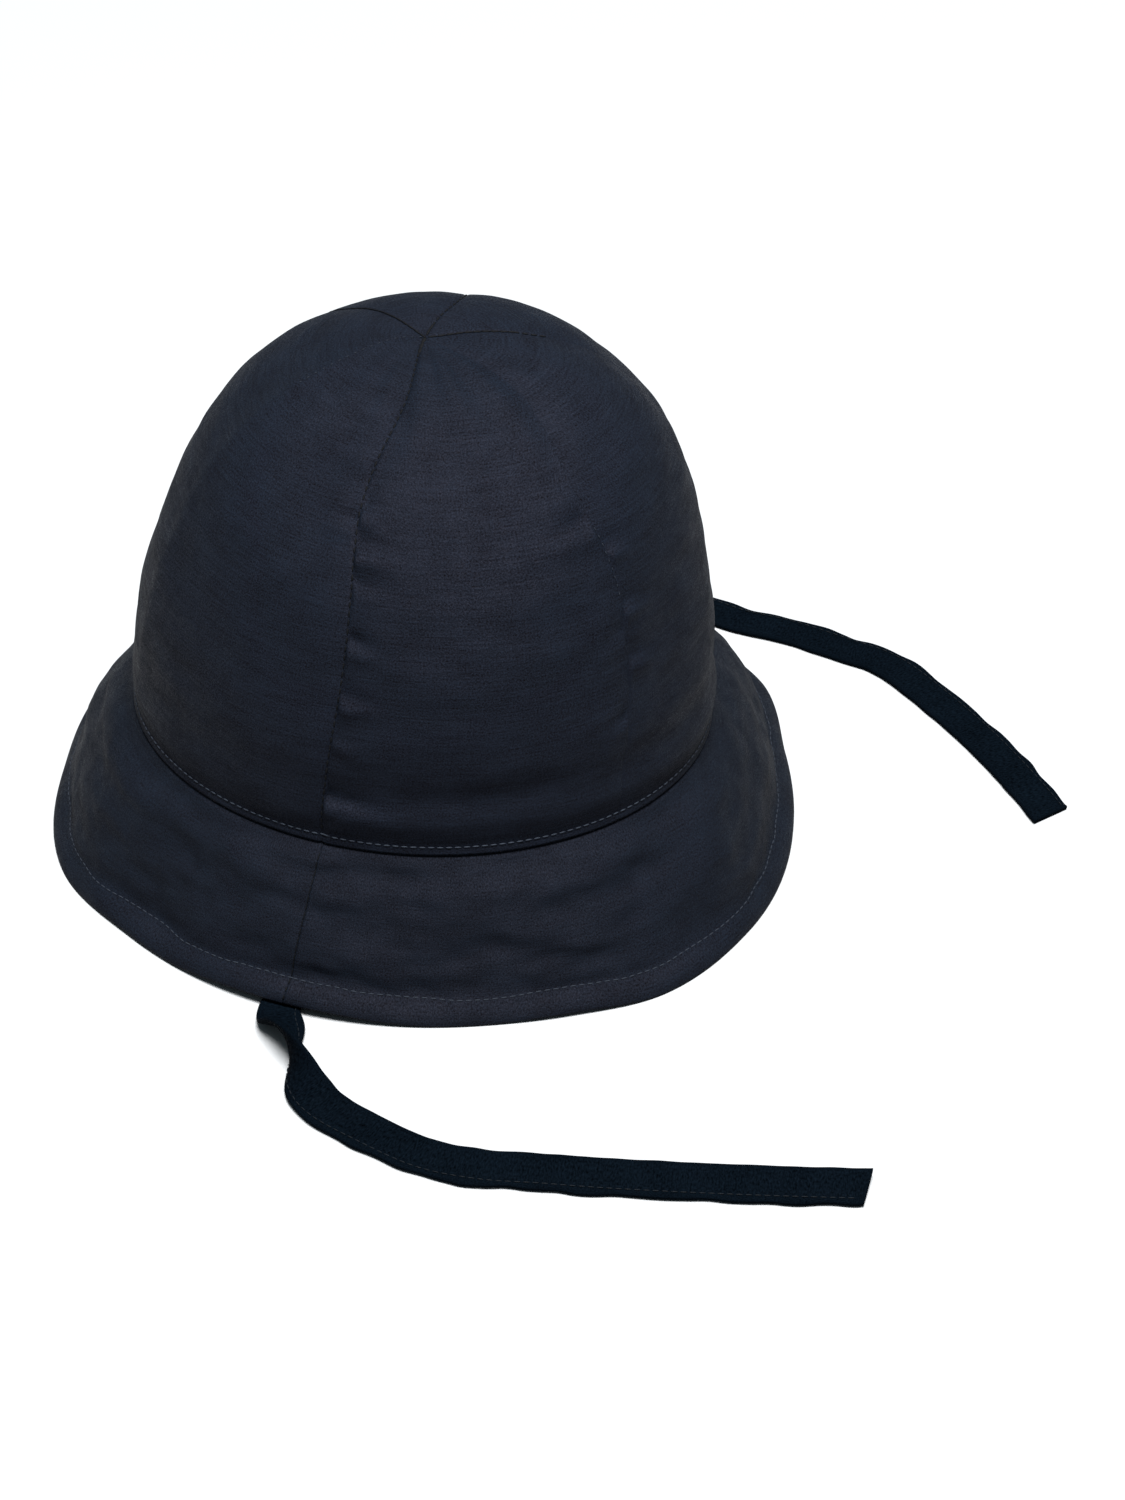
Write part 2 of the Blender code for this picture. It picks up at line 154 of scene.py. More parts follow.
def make_plain_weave():
    """The node group that gives the weave's height and its small changes of colour and shine."""
    group = bpy.data.node_groups.new("plain_weave", "ShaderNodeTree")
    for socket, kind in (
        ("Cloth", "NodeSocketVector"),
        ("Thread Pitch", "NodeSocketFloat"),
        ("Slub", "NodeSocketFloat"),
    ):
        group.interface.new_socket(socket, in_out="INPUT", socket_type=kind)
    for socket in ("Height", "Shade", "Shine"):
        group.interface.new_socket(socket, in_out="OUTPUT", socket_type="NodeSocketFloat")
    nodes, links = group.nodes, group.links
    taken = nodes.new("NodeGroupInput")
    given = nodes.new("NodeGroupOutput")

    def sums(operation, first, second=None):
        """One step of arithmetic between sockets or numbers."""
        step = nodes.new("ShaderNodeMath")
        step.operation = operation
        for index, value in enumerate((first, second)):
            if value is None:
                continue
            if isinstance(value, (int, float)):
                step.inputs[index].default_value = value
            else:
                links.new(value, step.inputs[index])
        return step.outputs[0]

    def grain(across, along, detail):
        """Noise with its own scale across and along the cloth, per metre."""
        stretch = nodes.new("ShaderNodeVectorMath")
        stretch.operation = "MULTIPLY"
        stretch.inputs[1].default_value = (across, along, 1.0)
        links.new(taken.outputs["Cloth"], stretch.inputs[0])
        field = nodes.new("ShaderNodeTexNoise")
        field.inputs["Scale"].default_value = 1.0
        field.inputs["Detail"].default_value = detail
        field.inputs["Roughness"].default_value = 0.6
        links.new(stretch.outputs[0], field.inputs["Vector"])
        return sums("SUBTRACT", field.outputs["Fac"], 0.5)

    split = nodes.new("ShaderNodeSeparateXYZ")
    links.new(taken.outputs["Cloth"], split.inputs[0])
    turns = sums("DIVIDE", 2 * math.pi, taken.outputs["Thread Pitch"])
    warp = sums("SINE", sums("MULTIPLY", split.outputs["X"], turns))
    weft = sums("SINE", sums("MULTIPLY", split.outputs["Y"], turns))
    threads = sums("MULTIPLY", warp, weft)
    weft_slub = grain(70.0, 1500.0, 2.0)
    warp_slub = grain(1500.0, 110.0, 2.0)
    speckle = grain(2100.0, 2100.0, 1.0)
    mottle = grain(90.0, 120.0, 3.0)
    slubs = sums("ADD", weft_slub, sums("MULTIPLY", warp_slub, 0.45))
    slubs = sums("MULTIPLY", slubs, taken.outputs["Slub"])
    height = sums("ADD", sums("MULTIPLY", threads, 0.5), sums("MULTIPLY", slubs, 2.0))
    height = sums("ADD", height, sums("MULTIPLY", speckle, 1.6))
    links.new(height, given.inputs["Height"])
    shade = sums("ADD", sums("MULTIPLY", slubs, 1.4), sums("MULTIPLY", speckle, 2.8))
    shade = sums("ADD", shade, sums("MULTIPLY", mottle, 0.8))
    links.new(sums("ADD", shade, 1.0), given.inputs["Shade"])
    # Threads stand out most where the light glances off them, and the cloth is rubbed in patches
    shine = sums("ADD", sums("MULTIPLY", slubs, 1.7), sums("MULTIPLY", speckle, 3.2))
    shine = sums("ADD", shine, sums("MULTIPLY", grain(420.0, 460.0, 2.0), 1.3))
    shine = sums("ADD", shine, sums("MULTIPLY", mottle, 1.2))
    links.new(sums("MAXIMUM", sums("ADD", shine, 1.0), 0.1), given.inputs["Shine"])
    return group


plain_weave = make_plain_weave()


def navy_cotton(name, colour, slub, roughness=COTTON_ROUGHNESS, gloss=COTTON_GLOSS):
    """The woven cotton in one colour, which for the brim and the ties is darkened as painted shade.
    """
    cotton = bpy.data.materials.new(name)
    cotton.use_nodes = True
    nodes, links = cotton.node_tree.nodes, cotton.node_tree.links
    shader = nodes["Principled BSDF"]
    shader.inputs["Specular IOR Level"].default_value = gloss
    shader.inputs["Specular Tint"].default_value = COTTON_SHEEN_TINT
    cloth = nodes.new("ShaderNodeUVMap")
    cloth.uv_map = "cloth"
    weave = nodes.new("ShaderNodeGroup")
    weave.node_tree = plain_weave
    weave.inputs["Thread Pitch"].default_value = THREAD_PITCH
    weave.inputs["Slub"].default_value = slub
    links.new(cloth.outputs["UV"], weave.inputs["Cloth"])
    tint = nodes.new("ShaderNodeVectorMath")
    tint.operation = "SCALE"
    tint.inputs[0].default_value = colour
    links.new(weave.outputs["Shade"], tint.inputs["Scale"])
    links.new(tint.outputs[0], shader.inputs["Base Color"])
    # Where the threads shine more they are smoother
    smoother = nodes.new("ShaderNodeMath")
    smoother.operation = "MULTIPLY_ADD"
    smoother.inputs[1].default_value = -THREAD_SMOOTHING * roughness
    smoother.inputs[2].default_value = (1 + THREAD_SMOOTHING) * roughness
    links.new(weave.outputs["Shine"], smoother.inputs[0])
    links.new(smoother.outputs[0], shader.inputs["Roughness"])
    bump = nodes.new("ShaderNodeBump")
    bump.inputs["Strength"].default_value = WEAVE_BUMP
    bump.inputs["Distance"].default_value = WEAVE_DEPTH
    links.new(weave.outputs["Height"], bump.inputs["Height"])
    links.new(bump.outputs["Normal"], shader.inputs["Normal"])
    return cotton


crown_cotton = navy_cotton("crown_cotton", CROWN_NAVY, 0.75)
# The brim's darker colour is painted shade.
brim_cotton = navy_cotton("brim_cotton", BRIM_NAVY_PAINTED_SHADE, 0.45)
# The ties' much darker colour is painted shade.
tie_cotton = navy_cotton("tie_cotton", TIE_NAVY_PAINTED_SHADE, 0.35, TIE_ROUGHNESS, TIE_GLOSS)


def lay_cloth(name, columns, rows, lay, cotton, wall=0.0):
    """A grid of cloth, each point laid by a rule of its place across and up, from 0 to 1."""
    cloth = bmesh.new()
    bmesh.ops.create_grid(cloth, x_segments=columns, y_segments=rows, size=0.5)
    threads = cloth.loops.layers.uv.new("cloth")
    laid = {}
    for vertex in cloth.verts:
        laid[vertex.index] = lay(vertex.co.x + 0.5, vertex.co.y + 0.5)
    for face in cloth.faces:
        face.smooth = True
        for corner in face.loops:
            corner[threads].uv = laid[corner.vert.index][1]
    for vertex in cloth.verts:
        vertex.co = laid[vertex.index][0]
    return finish_cloth(name, cloth, cotton, wall)


def finish_cloth(name, cloth, cotton, wall=0.0):
    """An object from a bmesh, in cotton, with a wall on its inner side where it has one."""
    data = bpy.data.meshes.new(name)
    cloth.to_mesh(data)
    cloth.free()
    data.materials.append(cotton)
    piece = bpy.data.objects.new(name, data)
    scene.collection.objects.link(piece)
    if wall:
        layers = piece.modifiers.new("layers", "SOLIDIFY")
        layers.thickness = wall
        layers.offset = -1.0
        layers.use_even_offset = True
    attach(piece, "root")
    return piece


# The crown
# Six panels of thin doubled cotton are sewn edge to edge and meet in a point at the top. The
# cloth stands up by itself, with soft dents, and puckers a little beside each seam.
HEAD_LENGTH = 0.1668
HEAD_WIDTH = 0.1478
SEAM_HEIGHT = 0.0428
CROWN_HEIGHT = 0.1127
CROWN_WALL = 0.0012
SIDE_FULLNESS = 2.7
TOP_FULLNESS = 2.45
LEAN_FORWARD = 0.0058
LEAN_LEFT = 0.011
TIP_FORWARD = -0.0078
TIP_LEFT = 0.002
TIP_SPREAD = 0.026
CROWN_TWIST = 5.0
LOW_BOW_LEVEL = 0.30
LOW_BOW_SPAN = 0.21
HIGH_BOW_LEVEL = 0.68
HIGH_BOW_SPAN = 0.15
ROLL_OUT = 0.002
ROLL_RISE = 0.007
SEAM_DIP = 0.0006
SEAM_SPREAD = 0.0040
DITCH_DEPTH = 0.0006
DITCH_HALF_WIDTH = 0.0006
TIP_RADIUS = 0.0002
CLOTH_GAP = 0.00004
DENT_DEPTH = 0.003
PANEL_COLUMNS = 74
PANEL_ROWS = 150
# The band along the crown's edge, with its forms' depths, heights up the crown and spans
LEDGE_DEPTH = 0.0007
LEDGE_SPAN = 0.0018
CHANNEL_DEPTH = -0.0001
CHANNEL_HEIGHT = 0.0030
CHANNEL_SPAN = 0.0012
BULGE_DEPTH = 0.0005
BULGE_HEIGHT = 0.0092
BULGE_SPAN_ABOVE = 0.0034
BULGE_SPAN_BELOW = 0.0062
BULGE_AZIMUTH = -89.0
BULGE_TURN = 14.0
HOLLOW_DEPTH = -0.0012
HOLLOW_HEIGHT = 0.0185
HOLLOW_SPAN = 0.0055
# Puckers: the height of a wave, how far its top edge slopes from the seam, how strong it is
PUCKER_RISE = 0.0024
PUCKER_SLOPE = 0.10
PUCKER_STRENGTH = 2.2
# Folds at the top: azimuth, half width in degrees, folds in a turn, depth
FOLD_AZIMUTH = -62.0
FOLD_TURN = 42.0
FOLD_COUNT = 17.0
TOP_FOLD_DEPTH = 0.00045

# Seams: azimuth at the crown's edge, degrees that the seam bows low down and high up
SEAMS = (
    (-90.6, 2.0, -6.0),
    (-27.4, 2.3, -6.5),
    (28.0, 2.3, 0.0),
    (90.0, 2.3, 8.0),
    (150.0, 2.3, 0.0),
    (210.0, 2.3, 0.0),
)
# How each seam shows: how much the cloth dips along it (a share; a crease is negative), how deep
# the ditch between its edges is (a share) below and above a level in metres up the cloth
SEAM_LOOKS = (
    (1.0, 0.5, 0.6, 0.10),
    (0.5, 0.2, 0.0, 0.10),
    (0.4, 0.15, 0.5, 0.128),
    (0.7, 0.6, 0.6, 0.10),
    (0.5, 0.4, 0.5, 0.10),
    (-0.6, 0.0, -0.5, 0.105),
)
# Rows of seam stitches: which seam, from and to in metres up the cloth, length, width, lift, and
# whether the thread is lit. Rows that are not lit are near-black, painted shade for the seam's
# pulled-in ditch, and a row without gaps paints a continuous dark line of shade.
SEAM_STITCHES = (
    (0, 0.004, 0.1542, 0.0018, 0.00060, 0.0001, False),
    (0, 0.1475, 0.1542, 0.0030, 0.00130, 0.0001, False),
    (1, 0.067, 0.087, 0.0011, 0.00026, 0.0001, True),
    (2, 0.127, 0.136, 0.0018, 0.00055, 0.0002, False),
    (2, 0.134, 0.1542, 0.0026, 0.00065, 0.0002, False),
    (3, 0.004, 0.1542, 0.0018, 0.00060, 0.0001, False),
    (3, 0.1480, 0.1542, 0.0026, 0.00080, 0.0001, False),
    (4, 0.110, 0.1542, 0.0026, 0.00060, 0.0002, False),
    (5, 0.116, 0.1542, 0.0008, 0.00024, 0.0001, True),
)
PANELS = (
    ("crown_right_front", SEAMS[0], SEAMS[1]),
    ("crown_front", SEAMS[1], SEAMS[2]),
    ("crown_left_front", SEAMS[2], SEAMS[3]),
    ("crown_left_back", SEAMS[3], SEAMS[4]),
    ("crown_back", SEAMS[4], SEAMS[5]),
    ("crown_right_back", SEAMS[5], SEAMS[0]),
)
# Soft dents: azimuth, height share, half width, half height, depth share (inwards is positive)
DENTS = (
    (-160.0, 0.45, 0.35, 0.50, 0.8),
    (20.0, 0.48, 0.30, 0.32, 0.45),
    (34.0, 0.86, 0.10, 0.10, 0.6),
    (45.0, 0.62, 0.12, 0.14, -0.5),
    (-108.0, 0.80, 0.14, 0.12, 0.6),
    (-62.0, 0.84, 0.07, 0.16, 0.4),
    (-120.0, 0.45, 0.20, 0.18, 0.5),
    (120.0, 0.75, 0.16, 0.14, 0.6),
    (-10.0, 0.40, 0.12, 0.20, 0.5),
    (178.0, 0.50, 0.18, 0.16, 0.6),
)
# Puckers beside the seams: which seam, side (1 is towards the wearer's left), how far up the
# cloth a pucker's top edge is in metres, its reach from the seam, its depth
PUCKERS = (
    (0, 1.0, 0.096, 0.007, 0.00055),
    (0, 1.0, 0.086, 0.008, 0.00110),
    (0, 1.0, 0.0765, 0.008, 0.00050),
    (0, 1.0, 0.061, 0.007, 0.00085),
    (0, 1.0, 0.046, 0.008, 0.00085),
    (0, 1.0, 0.034, 0.008, 0.00035),
    (0, 1.0, 0.0145, 0.012, 0.00080),
    (0, -1.0, 0.092, 0.008, 0.00050),
    (0, -1.0, 0.110, 0.008, 0.00050),
    (1, -1.0, 0.088, 0.010, 0.00080),
    (1, 1.0, 0.081, 0.007, 0.00075),
    (1, 1.0, 0.064, 0.009, 0.00070),
    (1, 1.0, 0.048, 0.008, 0.00070),
    (1, -1.0, 0.056, 0.009, 0.00050),
    (1, -1.0, 0.032, 0.008, 0.00050),
)


def place(azimuth, radius, height):
    """A point at an azimuth in degrees from the front, a distance from the head's middle."""
    angle = math.radians(azimuth)
    return HEAD_MIDDLE + Vector((radius * math.sin(angle), -radius * math.cos(angle), height))


def smooth(share):
    """0 to 1 with level ends."""
    share = min(1.0, max(0.0, share))
    return share * share * (3 - 2 * share)


def turn_between(first, second):
    """The smaller angle from one azimuth to another, in degrees, signed."""
    return (second - first + 180.0) % 360.0 - 180.0


def head_radius(azimuth):
    """The head oval's radius at an azimuth."""
    angle = math.radians(azimuth)
    return 1.0 / math.hypot(math.sin(angle) * 2 / HEAD_WIDTH, math.cos(angle) * 2 / HEAD_LENGTH)


def crown_profile():
    """The dome from its edge to its top: radius share, height and distance along, many rows."""
    rows = []
    travelled = 0.0
    for step in range(401):
        angle = math.pi / 2 * math.sin(math.pi / 2 * step / 400)
        share = max(0.0, math.cos(angle)) ** (2 / SIDE_FULLNESS)
        height = CROWN_HEIGHT * math.sin(angle) ** (2 / TOP_FULLNESS)
        if rows:
            inward = (share - rows[-1][0]) * HEAD_WIDTH / 2
            travelled += math.hypot(inward, height - rows[-1][1])
        rows.append((share, height, travelled))
    return rows


PROFILE = crown_profile()
PROFILE_LENGTH = PROFILE[-1][2]


def profile_at(travelled):
    """Radius share, height and the outward normal's two parts at a distance up the dome."""
    low, high = 0, len(PROFILE) - 1
    while high - low > 1:
        middle = (low + high) // 2
        if PROFILE[middle][2] <= travelled:
            low = middle
        else:
            high = middle
    start, end = PROFILE[low], PROFILE[high]
    share = (travelled - start[2]) / (end[2] - start[2])
    inward = (start[0] - end[0]) * HEAD_WIDTH / 2
    rise = end[1] - start[1]
    length = math.hypot(inward, rise)
    radius_share = start[0] + (end[0] - start[0]) * share
    return radius_share, start[1] + rise * share, rise / length, inward / length


def seam_azimuth(seam, travelled):
    """Where a seam has got to at a distance up the dome."""
    share = travelled / PROFILE_LENGTH
    azimuth, low_bow, high_bow = seam
    low = low_bow * math.exp(-(((share - LOW_BOW_LEVEL) / LOW_BOW_SPAN) ** 2))
    high = high_bow * math.exp(-(((share - HIGH_BOW_LEVEL) / HIGH_BOW_SPAN) ** 2))
    return azimuth + CROWN_TWIST * smooth(share) + low + high


def bell(value, middle, span):
    """1 at the middle, falling away smoothly to either side."""
    return math.exp(-(((value - middle) / span) ** 2))


def edge_band(azimuth, height):
    """How the lowest part of the crown stands out: a ledge, the stitch line, then a soft bulge."""
    ledge = LEDGE_DEPTH * bell(height, 0.0, LEDGE_SPAN)
    channel = CHANNEL_DEPTH * bell(height, CHANNEL_HEIGHT, CHANNEL_SPAN)
    off = turn_between(BULGE_AZIMUTH, azimuth)
    push = 0.5 + 1.2 * bell(off, 0.0, BULGE_TURN) if off > 0 else 0.2
    span = BULGE_SPAN_ABOVE if height > BULGE_HEIGHT else BULGE_SPAN_BELOW
    bulge = BULGE_DEPTH * bell(height, BULGE_HEIGHT, span) * push
    hollow = HOLLOW_DEPTH * bell(height, HOLLOW_HEIGHT, HOLLOW_SPAN) * (0.8 if off > 0 else 0.3)
    return ledge + channel + bulge + hollow


def crown_details(azimuth, travelled, radius, height):
    """Puckers, creases and small waves of the cloth, outwards."""
    spot = place(azimuth, radius, height)
    wide = noise.noise(spot * 30.0)
    fine = noise.noise(Vector((spot.x * 60.0, spot.y * 60.0, spot.z * 130.0)) + Vector((7, 3, 1)))
    small = noise.noise(Vector((spot.x * 190.0, spot.y * 190.0, spot.z * 260.0)))
    away = 0.0010 * wide + 0.00042 * fine + 0.00010 * small
    for seam, side, level, reach, depth in PUCKERS:
        off = turn_between(seam_azimuth(SEAMS[seam], travelled), azimuth) * side
        off = math.radians(off) * radius
        if 0.0 < off < 3 * reach:
            above = (travelled - level + PUCKER_SLOPE * off) / PUCKER_RISE
            wave = -above * math.exp(-(above**2) / 1.6) * (1 + 0.8 * small)
            beside = bell(off, 0.0, reach) * smooth(off / 0.0012)
            away += PUCKER_STRENGTH * depth * wave * beside
    # Folds that run out from the point at the top, on the side that is pulled
    near_top = smooth((height / CROWN_HEIGHT - 0.78) / 0.16) * smooth(radius / 0.018)
    near_top *= bell(turn_between(FOLD_AZIMUTH, azimuth), 0.0, FOLD_TURN)
    folds = math.sin(math.radians(azimuth) * FOLD_COUNT + 4.0 * wide)
    away += TOP_FOLD_DEPTH * near_top * folds
    return away


def crown_point(azimuth, travelled):
    """A point of the crown's outer face."""
    share, height, outward, upward = profile_at(travelled)
    free = 1 - math.exp(-((height / ROLL_RISE) ** 2))
    radius = head_radius(azimuth) * share
    away = ROLL_OUT * free * share
    dip = 0.0
    ditch = 0.0
    for seam, (dip_share, low_ditch, high_ditch, level) in zip(SEAMS, SEAM_LOOKS):
        off = math.radians(turn_between(seam_azimuth(seam, travelled), azimuth)) * radius
        dip += dip_share * math.exp(-((off / SEAM_SPREAD) ** 2))
        here = low_ditch + (high_ditch - low_ditch) * smooth((travelled - level) / 0.010 + 0.5)
        ditch = max(ditch, here * math.exp(-((off / DITCH_HALF_WIDTH) ** 2)))
    away -= SEAM_DIP * free * max(-1.0, min(1.0, dip)) * smooth(radius / 0.008)
    away -= DITCH_DEPTH * ditch
    for middle, level, half_width, half_height, depth in DENTS:
        across = math.radians(turn_between(middle, azimuth)) * radius / (half_width * HEAD_WIDTH)
        along = (height / CROWN_HEIGHT - level) / half_height
        away -= DENT_DEPTH * depth * free * math.exp(-(across**2) - along**2)
    away += edge_band(azimuth, height)
    away += crown_details(azimuth, travelled, radius, height) * free
    lean = (height / CROWN_HEIGHT) ** 2
    tip = math.exp(-((radius / TIP_SPREAD) ** 2))
    shift = Vector((LEAN_LEFT * lean + TIP_LEFT * tip, -LEAN_FORWARD * lean - TIP_FORWARD * tip, 0.0))
    return place(azimuth, radius + away * outward, SEAM_HEIGHT + height + away * upward) + shift


def make_crown_panel(name, left, right):
    """One panel between two seams, its threads level across it."""
    top = PROFILE_LENGTH - TIP_RADIUS

    def lay(across, up):
        # Columns close up towards the seams and rows towards the crown's edge
        turned = math.sin(math.pi / 2 * (2 * across - 1))
        travelled = top * (0.55 * up * up + 0.45 * up)
        start = seam_azimuth(left, travelled)
        end = start + turn_between(start, seam_azimuth(right, travelled))
        radius = head_radius((start + end) / 2) * profile_at(travelled)[0]
        half = (end - start) / 2
        half_inside = half - math.degrees(CLOTH_GAP / 2 / radius)
        azimuth = (start + end) / 2 + half_inside * turned
        point = crown_point(azimuth, travelled)
        return point, (math.radians(half * turned) * radius + left[0], travelled)

    panel = lay_cloth(name + "_cloth", PANEL_COLUMNS, PANEL_ROWS, lay, crown_cotton, CROWN_WALL)
    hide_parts(name)


for panel_name, left_seam, right_seam in PANELS:
    make_crown_panel(panel_name, left_seam, right_seam)

# The stitches
# One row, in a thread lighter than the cotton, runs round the crown above its edge. The crown's own
# seams show mostly near-black stitches, painted shade where the stitches pull the cloth in, and here
# and there the lit thread.
STITCH_PITCH = 0.00244
STITCH_LENGTH = 0.0019
STITCH_WIDTH = 0.00040
STITCH_HEIGHT = 0.00042
STITCH_LIFT = 0.00016
EDGE_STITCH_RISE = 0.0024
THREAD_NAVY = (0.021, 0.026, 0.036)
THREAD_HEM = (0.012, 0.015, 0.021)
# Near-black thread: painted shade where the seams' stitches pull the cloth into a ditch, not a colour
# the thread has.
THREAD_PAINTED_SHADE = (0.0005, 0.0007, 0.0013)
THREAD_ROUGHNESS = 0.7
THREAD_GLOSS = 0.10
STRAND_SCALE = 2200.0
SEAM_STEPS = 260


def sewing_thread(name, colour):
    """Twisted sewing thread, with fine slanting strands."""
    thread = bpy.data.materials.new(name)
    thread.use_nodes = True
    nodes, links = thread.node_tree.nodes, thread.node_tree.links
    shader = nodes["Principled BSDF"]
    shader.inputs["Roughness"].default_value = THREAD_ROUGHNESS
    shader.inputs["Specular IOR Level"].default_value = THREAD_GLOSS
    place_in = nodes.new("ShaderNodeTexCoord")
    strands = nodes.new("ShaderNodeTexWave")
    strands.inputs["Scale"].default_value = STRAND_SCALE
    strands.inputs["Distortion"].default_value = 2.0
    links.new(place_in.outputs["Object"], strands.inputs["Vector"])
    shades = nodes.new("ShaderNodeValToRGB")
    shades.color_ramp.elements[0].color = (*(value * 0.7 for value in colour), 1.0)
    shades.color_ramp.elements[1].color = (*(value * 1.2 for value in colour), 1.0)
    links.new(strands.outputs["Fac"], shades.inputs["Fac"])
    links.new(shades.outputs["Color"], shader.inputs["Base Color"])
    bump = nodes.new("ShaderNodeBump")
    bump.inputs["Strength"].default_value = 0.4
    bump.inputs["Distance"].default_value = 0.0001
    links.new(strands.outputs["Fac"], bump.inputs["Height"])
    links.new(bump.outputs["Normal"], shader.inputs["Normal"])
    return thread


seam_thread = sewing_thread("seam_thread", THREAD_NAVY)
hem_thread = sewing_thread("hem_thread", THREAD_HEM)
# This thread paints the shade in the seams' ditches.
painted_shade_thread = sewing_thread("painted_shade_thread", THREAD_PAINTED_SHADE)


def sew_line(name, line, normals, thread, length=STITCH_LENGTH, width=STITCH_WIDTH, lift=STITCH_LIFT):
    """Stitches set along a line of points, one pitch apart, each lying on the cloth."""
    row = bmesh.new()
    waiting = STITCH_PITCH / 2
    for index in range(len(line) - 1):
        start, end = line[index], line[index + 1]
        step = (end - start).length
        while waiting < step:
            middle = start.lerp(end, waiting / step)
            up = normals[index].lerp(normals[index + 1], waiting / step).normalized()
            ahead = (end - start).normalized()
            side = up.cross(ahead).normalized()
            up = ahead.cross(side)
            turn = Matrix((ahead, side, up)).transposed().to_4x4()
            size = Matrix.Diagonal((length / 2, width / 2, STITCH_HEIGHT / 2, 1.0))
            spot = Matrix.Translation(middle + up * lift)
            bmesh.ops.create_icosphere(row, subdivisions=2, radius=1.0, matrix=spot @ turn @ size)
            waiting += STITCH_PITCH
        waiting -= step
    for face in row.faces:
        face.smooth = True
    return finish_cloth(name, row, thread)


def crown_line(azimuths, rises):
    """Points of the crown's face with their outward directions."""
    points, normals = [], []
    for azimuth, travelled in zip(azimuths, rises):
        point = crown_point(azimuth, travelled)
        across = crown_point(azimuth + 0.5, travelled) - point
        along = crown_point(azimuth, travelled + 0.0004) - point
        points.append(point)
        normals.append(across.cross(along).normalized())
    return points, normals


EDGE_STEPS = 720
edge_azimuths = [360.0 * step / EDGE_STEPS - 90.0 for step in range(EDGE_STEPS + 1)]
edge_line, edge_normals = crown_line(edge_azimuths, [EDGE_STITCH_RISE] * (EDGE_STEPS + 1))
crown_edge_stitches = sew_line("crown_edge_stitches", edge_line, edge_normals, seam_thread)

for number, (seam, low_rise, high_rise, *size, is_lit) in enumerate(SEAM_STITCHES, 1):
    rises = [low_rise + (high_rise - low_rise) * step / SEAM_STEPS for step in range(SEAM_STEPS + 1)]
    turned = [seam_azimuth(SEAMS[seam], rise) for rise in rises]
    seam_line, seam_normals = crown_line(turned, rises)
    # Rows that are not lit use the near-black thread, painted shade for the seam's ditch.
    thread = hem_thread if is_lit else painted_shade_thread
    thread_and_painted_shade = sew_line(f"seam_stitches_{number}", seam_line, seam_normals, thread, *size)

# The brim
# Two halves of doubled cotton flare from under the crown's edge to the table. They meet at the
# side seams. The lowest part is a turned-in hem, stitched along its top edge.
BRIM_REACH = 0.026
BRIM_WALL = 0.0016
HEM_WALL = 0.0024
HEM_DEPTH = 0.0074
BRIM_TUCK = 0.006
SEAM_LEAN = -2.1
LEAN_SPAN = 30.0
FOLD_DEPTH = 0.003
HEM_LIFT = 0.003
TIE_THICKNESS = 0.0016
PASS_CLEARANCE = 0.0009
PASS_MARGIN = 0.0006
TIE_SWELL = 7.0
TOP_GAP = 0.0003
LIP_DEPTH = 0.0017
STITCH_CHANNEL = 0.0004
HEM_ROLL = 0.0005
HEM_ROUND = 0.0003
FOOT_ROUND = 0.0005
WRINKLE_DEPTH = 0.0014
CREASE_DEPTH = 0.0007
SPECK_DEPTH = 0.00034
BRIM_COLUMNS = 260
BRIM_TURNS = 96

# The hem: azimuth, reach as a share of the brim's, lift off the table as a share
HEM_ROWS = (
    (-170.0, 1.00, 0.0),
    (-143.0, 1.07, 0.0),
    (-125.0, 0.95, 0.2),
    (-90.0, 0.95, 0.0),
    (-60.0, 0.90, 0.0),
    (-45.0, 0.96, 0.3),
    (-31.0, 1.08, 0.0),
    (-12.0, 1.0, 0.0),
    (14.0, 0.97, 0.0),
    (34.0, 1.14, 0.3),
    (50.0, 1.50, 0.9),
    (70.0, 1.55, 0.5),
    (95.0, 1.45, 0.0),
    (115.0, 1.37, 0.0),
    (132.0, 1.34, 0.0),
    (150.0, 1.31, 0.0),
    (170.0, 1.20, 0.3),
)
# The brim's section: how far down, how far out
BRIM_SLOPE = (
    (0.0, 0.0),
    (0.25, 0.38),
    (0.55, 0.65),
    (0.82, 0.80),
    (1.0, 1.0),
)
# Soft folds: azimuth, half width in degrees, place down, half length, depth share
FOLDS = (
    (-26.0, 9.0, 0.35, 0.35, 0.9),
    (-12.0, 8.0, 0.55, 0.40, -0.7),
    (-70.0, 14.0, 0.45, 0.35, 0.5),
    (-118.0, 12.0, 0.60, 0.40, 0.5),
    (35.0, 14.0, 0.50, 0.40, -0.5),
    (60.0, 24.0, 0.28, 0.30, -1.2),
    (75.0, 12.0, 0.55, 0.40, -0.5),
    (140.0, 13.0, 0.50, 0.40, 0.6),
    (185.0, 12.0, 0.60, 0.40, -0.5),
)
